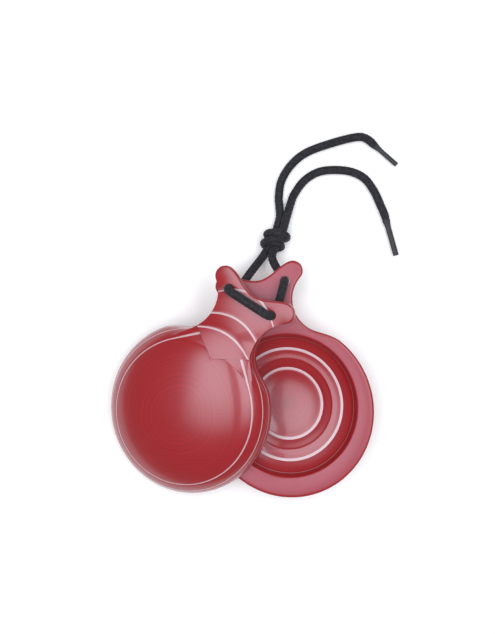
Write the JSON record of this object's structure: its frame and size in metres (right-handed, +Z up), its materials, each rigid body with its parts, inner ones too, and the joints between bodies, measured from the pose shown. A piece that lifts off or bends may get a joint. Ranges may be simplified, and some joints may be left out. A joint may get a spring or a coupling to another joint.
{
  "type": "castanets",
  "caption": "Laminated castanets on a knotted braided cord: the lower shell lies face up and the upper shell leans over its rim.",
  "frame": {"origin": "on the table under the middle of the two shells, cord left out", "axes": "+Z up, +X to the right and +Y toward the ears and the knot as seen from above"},
  "size_m": [0.1268, 0.1588, 0.0358],
  "materials": {
    "red_fibre": "polished fibre laminate",
    "pale_fibre": "polished fibre laminate",
    "braid": "braided cord",
    "aglet_film": "sealed cord end"
  },
  "bodies": {
    "lower_shell": {"lower_face_ply": "red_fibre", "lower_pale_ply_1": "pale_fibre", "lower_ply_2": "red_fibre", "lower_pale_ply_2": "pale_fibre", "lower_ply_3": "red_fibre", "lower_pale_ply_3": "pale_fibre", "lower_crown": "red_fibre", "left_back_strand": "braid", "right_back_strand": "braid", "cord_knot": "braid", "long_tail": "braid", "short_tail": "braid", "long_aglet": "aglet_film", "short_aglet": "aglet_film"},
    "lean_link": {"left_between_strand": "braid"},
    "swing_link": {"right_between_strand": "braid"},
    "upper_shell": {"upper_face_ply": "red_fibre", "upper_pale_ply_1": "pale_fibre", "upper_ply_2": "red_fibre", "upper_pale_ply_2": "pale_fibre", "upper_ply_3": "red_fibre", "upper_pale_ply_3": "pale_fibre", "upper_crown": "red_fibre", "bridge_strand": "braid"}
  },
  "joints": [
    {"name": "lean", "type": "hinge", "parent": "lower_shell", "child": "lean_link", "pos_m": [-0.0138, -0.02369, 0.01351], "axis": [-0.342, 0.9397, 0], "range_deg": [0, 14.8], "deforming": ["left_between_strand"]},
    {"name": "swing", "type": "hinge", "parent": "lean_link", "child": "swing_link", "pos_m": [-0.00147, 0.03836, 0.02489], "axis": [-0.3183, -0.1159, 0.9409], "range_deg": [0, 44.5], "deforming": ["right_between_strand"]},
    {"name": "clap", "type": "hinge", "parent": "swing_link", "child": "upper_shell", "pos_m": [0.00816, 0.03946, 0.02871], "axis": [-0.8181, 0.5351, -0.2109], "range_deg": [0, 30]}
  ]
}
